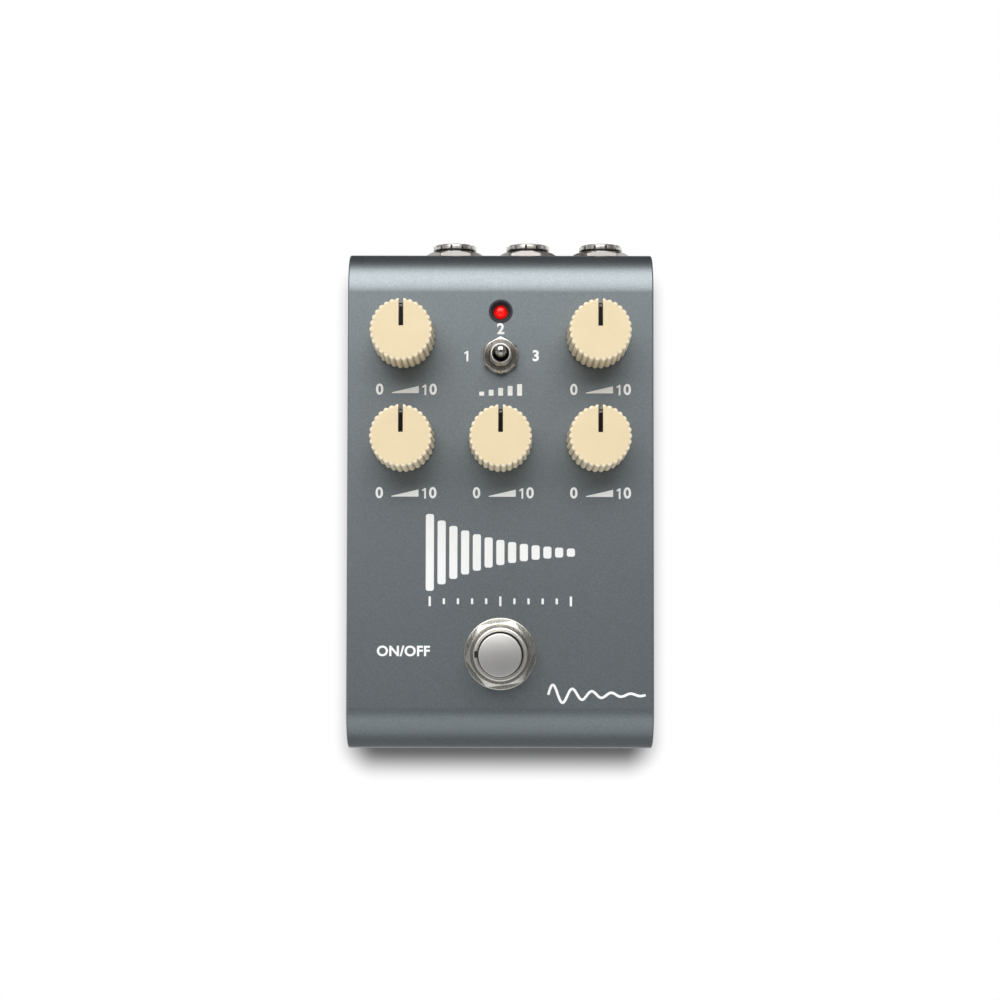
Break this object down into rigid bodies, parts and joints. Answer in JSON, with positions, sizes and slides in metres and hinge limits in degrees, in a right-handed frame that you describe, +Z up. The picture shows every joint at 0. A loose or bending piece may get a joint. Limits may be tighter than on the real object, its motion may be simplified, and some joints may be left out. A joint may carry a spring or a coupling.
{
  "type": "delay pedal",
  "caption": "Compact metal effects pedal with fluted control knobs, a mini toggle, a status light, a footswitch and rear audio sockets.",
  "frame": {"origin": "on the resting surface, under the middle of the overall box", "axes": "+Z up out of the control panel, +Y towards the rear wall with the sockets, +X to the right seen from the footswitch end"},
  "size_m": [0.068, 0.1146, 0.0655],
  "materials": {
    "case_sheet": "slate grey-blue anodised aluminium, fine sparkle, satin",
    "tray_sheet": "same slate grey-blue anodised sheet, satin",
    "screw_steel": "zinc plated steel",
    "foot_rubber": "matte black rubber",
    "knob_cream": "cream moulded plastic, satin",
    "pointer_black": "black inlaid line",
    "shaft_steel": "turned steel",
    "pot_body": "moulded component body",
    "jack_plastic": "black moulded plastic",
    "nickel_plate": "bright nickel plate, light wear",
    "chrome_plate": "bright chrome plate",
    "satin_nickel": "satin turned nickel",
    "bezel_plastic": "black moulded plastic",
    "lamp_red": "red diffused lamp, lit",
    "board_green": "green solder mask"
  },
  "bodies": {
    "chassis": {"chassis_shell": "case_sheet", "base_tray": "tray_sheet", "base_screw_front_left": "screw_steel", "base_screw_front_right": "screw_steel", "base_screw_rear_left": "screw_steel", "base_screw_rear_right": "screw_steel", "rubber_foot_front_left": "foot_rubber", "rubber_foot_front_right": "foot_rubber", "rubber_foot_rear_left": "foot_rubber", "rubber_foot_rear_right": "foot_rubber", "potentiometer_rear_left": "pot_body", "potentiometer_rear_right": "pot_body", "potentiometer_middle_left": "pot_body", "potentiometer_middle_centre": "pot_body", "potentiometer_middle_right": "pot_body", "left_jack_body": "jack_plastic", "left_jack_nut": "nickel_plate", "left_jack_ring": "chrome_plate", "middle_jack_body": "jack_plastic", "middle_jack_nut": "nickel_plate", "middle_jack_ring": "chrome_plate", "right_jack_body": "jack_plastic", "right_jack_nut": "nickel_plate", "right_jack_ring": "chrome_plate", "expression_jack_body": "jack_plastic", "expression_jack_nut": "nickel_plate", "expression_jack_ring": "chrome_plate", "led_bezel": "bezel_plastic", "status_led": "lamp_red", "toggle_body": "nickel_plate", "toggle_washer": "nickel_plate", "toggle_nut": "nickel_plate", "footswitch_bushing": "nickel_plate", "footswitch_washer": "nickel_plate", "footswitch_nut": "nickel_plate", "footswitch_base": "jack_plastic", "footswitch_spring": "shaft_steel", "power_socket": "jack_plastic", "data_port": "shaft_steel", "main_board": "board_green", "lower_board": "board_green", "board_header": "jack_plastic"},
    "rear_left_control": {"knob_rear_left": "knob_cream", "pointer_rear_left": "pointer_black", "shaft_rear_left": "shaft_steel"},
    "rear_right_control": {"knob_rear_right": "knob_cream", "pointer_rear_right": "pointer_black", "shaft_rear_right": "shaft_steel"},
    "middle_left_control": {"knob_middle_left": "knob_cream", "pointer_middle_left": "pointer_black", "shaft_middle_left": "shaft_steel"},
    "middle_centre_control": {"knob_middle_centre": "knob_cream", "pointer_middle_centre": "pointer_black", "shaft_middle_centre": "shaft_steel"},
    "middle_right_control": {"knob_middle_right": "knob_cream", "pointer_middle_right": "pointer_black", "shaft_middle_right": "shaft_steel"},
    "toggle": {"toggle_lever": "chrome_plate"},
    "footswitch": {"footswitch_button": "satin_nickel"}
  },
  "joints": [
    {"name": "rear_left_turn", "type": "hinge", "parent": "chassis", "child": "rear_left_control", "pos_m": [-0.02155, 0.03405, 0.05], "axis": [0, 0, 1], "range_deg": [-150, 150]},
    {"name": "rear_right_turn", "type": "hinge", "parent": "chassis", "child": "rear_right_control", "pos_m": [0.02155, 0.03405, 0.05], "axis": [0, 0, 1], "range_deg": [-150, 150]},
    {"name": "middle_left_turn", "type": "hinge", "parent": "chassis", "child": "middle_left_control", "pos_m": [-0.02155, 0.01105, 0.05], "axis": [0, 0, 1], "range_deg": [-150, 150]},
    {"name": "middle_centre_turn", "type": "hinge", "parent": "chassis", "child": "middle_centre_control", "pos_m": [0, 0.01105, 0.05], "axis": [0, 0, 1], "range_deg": [-150, 150]},
    {"name": "middle_right_turn", "type": "hinge", "parent": "chassis", "child": "middle_right_control", "pos_m": [0.02155, 0.01105, 0.05], "axis": [0, 0, 1], "range_deg": [-150, 150]},
    {"name": "toggle_tilt", "type": "hinge", "parent": "chassis", "child": "toggle", "pos_m": [0, 0.02985, 0.0528], "axis": [0, 1, 0], "range_deg": [-12.5, 12.5]},
    {"name": "footswitch_press", "type": "slide", "parent": "chassis", "child": "footswitch", "axis": [0, 0, -1], "range_m": [0, 0.002], "stiffness_N_per_m": 1200, "springref_m": -0.002, "deforming": ["footswitch_spring"]}
  ]
}
